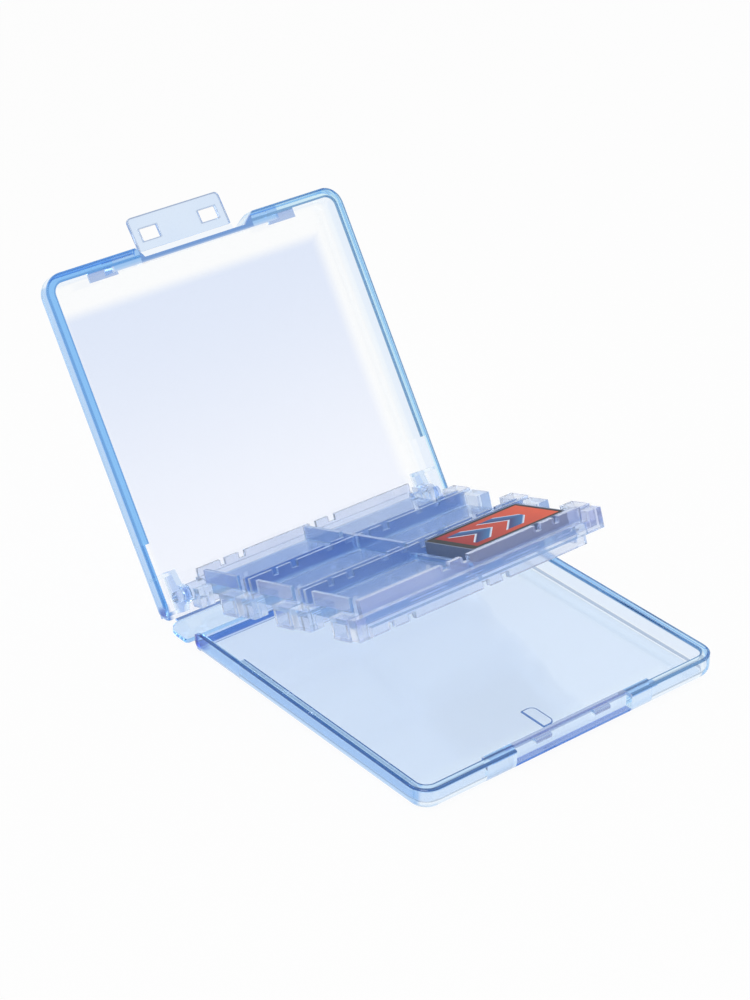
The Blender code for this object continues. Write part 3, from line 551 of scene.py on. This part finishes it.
def printed_film(name):
    """Printed film: a black border, a ground that runs from red to orange, and blue arrows edged in pale."""
    made, tree = new_material(name)
    low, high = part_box("card_label")
    place = add(tree, "ShaderNodeTexCoord").outputs["Object"]
    middle = tuple((low[i] + high[i]) / 2 for i in range(3))
    own = add(tree, "ShaderNodeSeparateXYZ", {"Vector": in_frame(tree, middle, TRAY_TILT)})
    across, deep = own.outputs["X"], own.outputs["Y"]
    ink = add(tree, "ShaderNodeTexNoise", {"Vector": place, "Scale": 1 / INK_CLOUD, "Detail": 3.0})
    drift = add(tree, "ShaderNodeMath", {
        0: ink.outputs["Fac"], 1: INK_DRIFT, 2: across,
    }, operation="MULTIPLY_ADD")
    warm = add(tree, "ShaderNodeMapRange", {
        "Value": drift.outputs[0], "From Min": GROUND_RED_END, "From Max": GROUND_ORANGE_END,
    })
    ground = layered(tree, "#9C0C1A", ((warm.outputs["Result"], "#E2502A"),))
    # the arrows point to the card's right, and a place's share of its arrow picks the ink
    fold = add(tree, "ShaderNodeMath", {0: deep}, operation="ABSOLUTE")
    arrow = add(tree, "ShaderNodeMath", {
        0: fold.outputs[0], 1: ARROW_SLOPE, 2: across,
    }, operation="MULTIPLY_ADD")
    arrow = add(tree, "ShaderNodeMath", {0: arrow.outputs[0], 1: ARROW_START}, operation="ADD")
    arrow = add(tree, "ShaderNodeMath", {0: arrow.outputs[0], 1: ARROW_PITCH}, operation="MODULO")
    arrow = add(tree, "ShaderNodeMath", {0: arrow.outputs[0], 1: ARROW_PITCH}, operation="DIVIDE")
    inks = add(tree, "ShaderNodeValToRGB", {"Fac": arrow.outputs[0]})
    while len(inks.color_ramp.elements) < len(ARROW_INKS):
        inks.color_ramp.elements.new(0.5)
    for element, (spot, colour) in zip(inks.color_ramp.elements, ARROW_INKS):
        element.position = spot
        element.color = linear(colour)
    inside = add(tree, "ShaderNodeMath", {
        0: arrow.outputs[0], 1: ARROW_MIDDLE_SHARE, 2: ARROW_HALF_SHARE,
    }, operation="COMPARE")
    reach = add(tree, "ShaderNodeMath", {0: fold.outputs[0], 1: ARROW_HALF_HEIGHT}, operation="LESS_THAN")
    shown = add(tree, "ShaderNodeMath", {0: inside.outputs[0], 1: reach.outputs[0]}, operation="MULTIPLY")
    between = add(tree, "ShaderNodeMath", {
        0: across, 1: ARROWS_MIDDLE, 2: ARROWS_HALF_LENGTH,
    }, operation="COMPARE")
    shown = add(tree, "ShaderNodeMath", {0: shown.outputs[0], 1: between.outputs[0]}, operation="MULTIPLY")
    art = layered(tree, ground, ((shown.outputs[0], inks.outputs["Color"]),))
    ends = add(tree, "ShaderNodeMath", {
        0: across, 1: PICTURE_MIDDLE, 2: PICTURE_HALF_LENGTH,
    }, operation="COMPARE")
    sides = add(tree, "ShaderNodeMath", {0: deep, 1: 0.0, 2: PICTURE_HALF_WIDTH}, operation="COMPARE")
    picture = add(tree, "ShaderNodeMath", {0: ends.outputs[0], 1: sides.outputs[0]}, operation="MULTIPLY")
    face = layered(tree, "#0B0B0F", ((picture.outputs[0], art),))
    body = add(tree, "ShaderNodeBsdfPrincipled", {
        "Base Color": face, "Roughness": 0.35, "Specular IOR Level": 0.1,
    })
    add(tree, "ShaderNodeOutputMaterial", {"Surface": body.outputs[0]})
    return made


def activate(piece):
    bpy.ops.object.select_all(action="DESELECT")
    piece.select_set(True)
    bpy.context.view_layer.objects.active = piece


def softened(node, body, edge, surface):
    """The node's form with its sharp edges rounded as a mould leaves them."""
    piece = bpy.data.objects.new(node + "_moulded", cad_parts[node].data.copy())
    bpy.context.scene.collection.objects.link(piece)
    activate(piece)
    bpy.ops.object.mode_set(mode="EDIT")
    bpy.ops.mesh.select_all(action="SELECT")
    bpy.ops.mesh.remove_doubles(threshold=MERGE_WITHIN)
    bpy.ops.mesh.dissolve_limited(angle_limit=math.radians(FLAT_ANGLE))
    bpy.ops.object.mode_set(mode="OBJECT")
    bevel = piece.modifiers.new("edges", "BEVEL")
    bevel.width = edge
    bevel.segments = EDGE_SEGMENTS
    bevel.limit_method = "ANGLE"
    bevel.angle_limit = math.radians(SHARP_ANGLE)
    bpy.ops.object.modifier_apply(modifier=bevel.name)
    bpy.ops.object.shade_smooth_by_angle(angle=math.radians(SMOOTH_ANGLE))
    weigh = piece.modifiers.new("normals", "WEIGHTED_NORMAL")
    weigh.keep_sharp = True
    bpy.ops.object.modifier_apply(modifier=weigh.name)
    piece.data.materials.clear()
    piece.data.materials.append(surface)
    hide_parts(node)
    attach(piece, body)


def make_camera():
    azimuth = math.radians(CAMERA_AZIMUTH)
    elevation = math.radians(CAMERA_ELEVATION)
    roll = math.radians(CAMERA_ROLL)
    right = Vector((math.cos(azimuth), math.sin(azimuth), 0.0))
    back = Vector((
        math.sin(azimuth) * math.cos(elevation),
        -math.cos(azimuth) * math.cos(elevation),
        math.sin(elevation),
    ))
    up = back.cross(right)
    across = right * math.cos(roll) + up * math.sin(roll)
    over = up * math.cos(roll) - right * math.sin(roll)
    data = bpy.data.cameras.new("camera")
    data.sensor_fit = "AUTO"
    data.sensor_width = SENSOR
    data.lens = CAMERA_LENS
    data.clip_start = CAMERA_NEAR
    data.clip_end = CAMERA_FAR
    camera = bpy.data.objects.new("camera", data)
    turn = Matrix((across, over, back)).transposed().to_4x4()
    camera.matrix_world = Matrix.Translation(CAMERA_AIM + back * CAMERA_DISTANCE) @ turn
    bpy.context.scene.collection.objects.link(camera)
    bpy.context.scene.camera = camera


def seen_rays(tree):
    """1 for rays from the camera, a reflection or a clear wall, 0 for light that falls on the object."""
    path = add(tree, "ShaderNodeLightPath").outputs
    seen = path["Is Camera Ray"]
    for sent in ("Is Glossy Ray", "Is Transmission Ray"):
        seen = add(tree, "ShaderNodeMath", {0: seen, 1: path[sent]}, operation="MAXIMUM").outputs[0]
    return seen


def make_world():
    world = bpy.data.worlds.new("studio")
    bpy.context.scene.world = world
    world.use_nodes = True
    tree = world.node_tree
    tree.nodes.clear()
    seen = seen_rays(tree)
    soft = add(tree, "ShaderNodeBackground", {"Color": WHITE, "Strength": SOFT_LIGHT})
    white = add(tree, "ShaderNodeBackground", {"Color": WHITE, "Strength": SEEN_WHITE})
    mix = add(tree, "ShaderNodeMixShader", {0: seen, 1: soft.outputs[0], 2: white.outputs[0]})
    add(tree, "ShaderNodeOutputWorld", {"Surface": mix.outputs[0]})


def make_floor():
    bpy.ops.object.select_all(action="DESELECT")
    bpy.ops.mesh.primitive_plane_add(size=FLOOR_SIZE, location=(0, 0, -FLOOR_DROP))
    floor = bpy.context.object
    floor.name = "studio_floor"
    made, tree = new_material("white_paper_sweep")
    seen = seen_rays(tree)
    paper = add(tree, "ShaderNodeBsdfDiffuse", {"Color": PAPER_GREY})
    glow = add(tree, "ShaderNodeEmission", {"Color": WHITE, "Strength": SEEN_WHITE})
    share = add(tree, "ShaderNodeMath", {0: seen, 1: PAPER_GLOW_SHARE}, operation="MULTIPLY")
    both = add(tree, "ShaderNodeMixShader", {0: share.outputs[0], 1: paper.outputs[0], 2: glow.outputs[0]})
    add(tree, "ShaderNodeOutputMaterial", {"Surface": both.outputs[0]})
    floor.data.materials.append(made)


def lamp(name, place, size, power):
    data = bpy.data.lights.new(name, "AREA")
    data.shape = "DISK"
    data.size = size
    data.energy = power
    made = bpy.data.objects.new(name, data)
    bpy.context.scene.collection.objects.link(made)
    made.location = place
    made.rotation_mode = "QUATERNION"
    made.rotation_quaternion = (LAMP_AIM - Vector(place)).to_track_quat("-Z", "Y")


make_camera()
make_world()
make_floor()
lamp("key_softbox", **KEY_SOFTBOX)
lamp("side_softbox", **SIDE_SOFTBOX)

base_plastic = shell_plastic("clear_blue_polystyrene_base", BASE_HINGE, 0.0, BASE_TINTS, BASE_SHADE_LINES, True)
lid_plastic = shell_plastic("clear_blue_polystyrene_lid", LID_HINGE, LID_TURN, LID_TINTS, LID_SHADE_LINES, False)
base_strip_plastic = tinted_plastic(
    "clear_blue_polystyrene_base_strip", "#C6DAF7", "#D3E3F9", STRIP_ROUGHNESS, STRIP_HAZE, STRIP_WAVE)
lid_strip_plastic = tinted_plastic(
    "clear_blue_polystyrene_lid_strip", "#6885BC", "#7C98CC", STRIP_ROUGHNESS, STRIP_HAZE, STRIP_WAVE)
spine_plastic = tinted_plastic(
    "clear_blue_polystyrene_spine", "#D4E4F8", "#DDEAFA", SPINE_ROUGHNESS, SPINE_HAZE, WAVE)
tray_surface = tray_plastic("milky_blue_polystyrene_tray")
flap_surface = flap_plastic("clear_polystyrene_flap")
card_surface = card_plastic("moulded_grey_ABS")

softened("base_shell", "base", SHELL_EDGE, base_plastic)
softened("lid_shell", "lid", SHELL_EDGE, lid_plastic)
softened("spine_panel", "spine", SPINE_EDGE, spine_plastic)
softened("base_hinge_web", "base_web", THIN_EDGE, base_strip_plastic)
softened("lid_hinge_web", "lid_web", THIN_EDGE, lid_strip_plastic)
softened("latch_flap", "flap", THIN_EDGE, flap_surface)
softened("card_tray", "tray", TRAY_EDGE, tray_surface)
softened("game_card", "card", CARD_EDGE, card_surface)
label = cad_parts["card_label"].data
label.materials.clear()
label.materials.append(printed_film("printed_film"))

scene = bpy.context.scene
scene.view_settings.view_transform = "Standard"
scene.cycles.max_bounces = BOUNCES
scene.cycles.glossy_bounces = BOUNCES
scene.cycles.transmission_bounces = BOUNCES
scene.cycles.transparent_max_bounces = BOUNCES
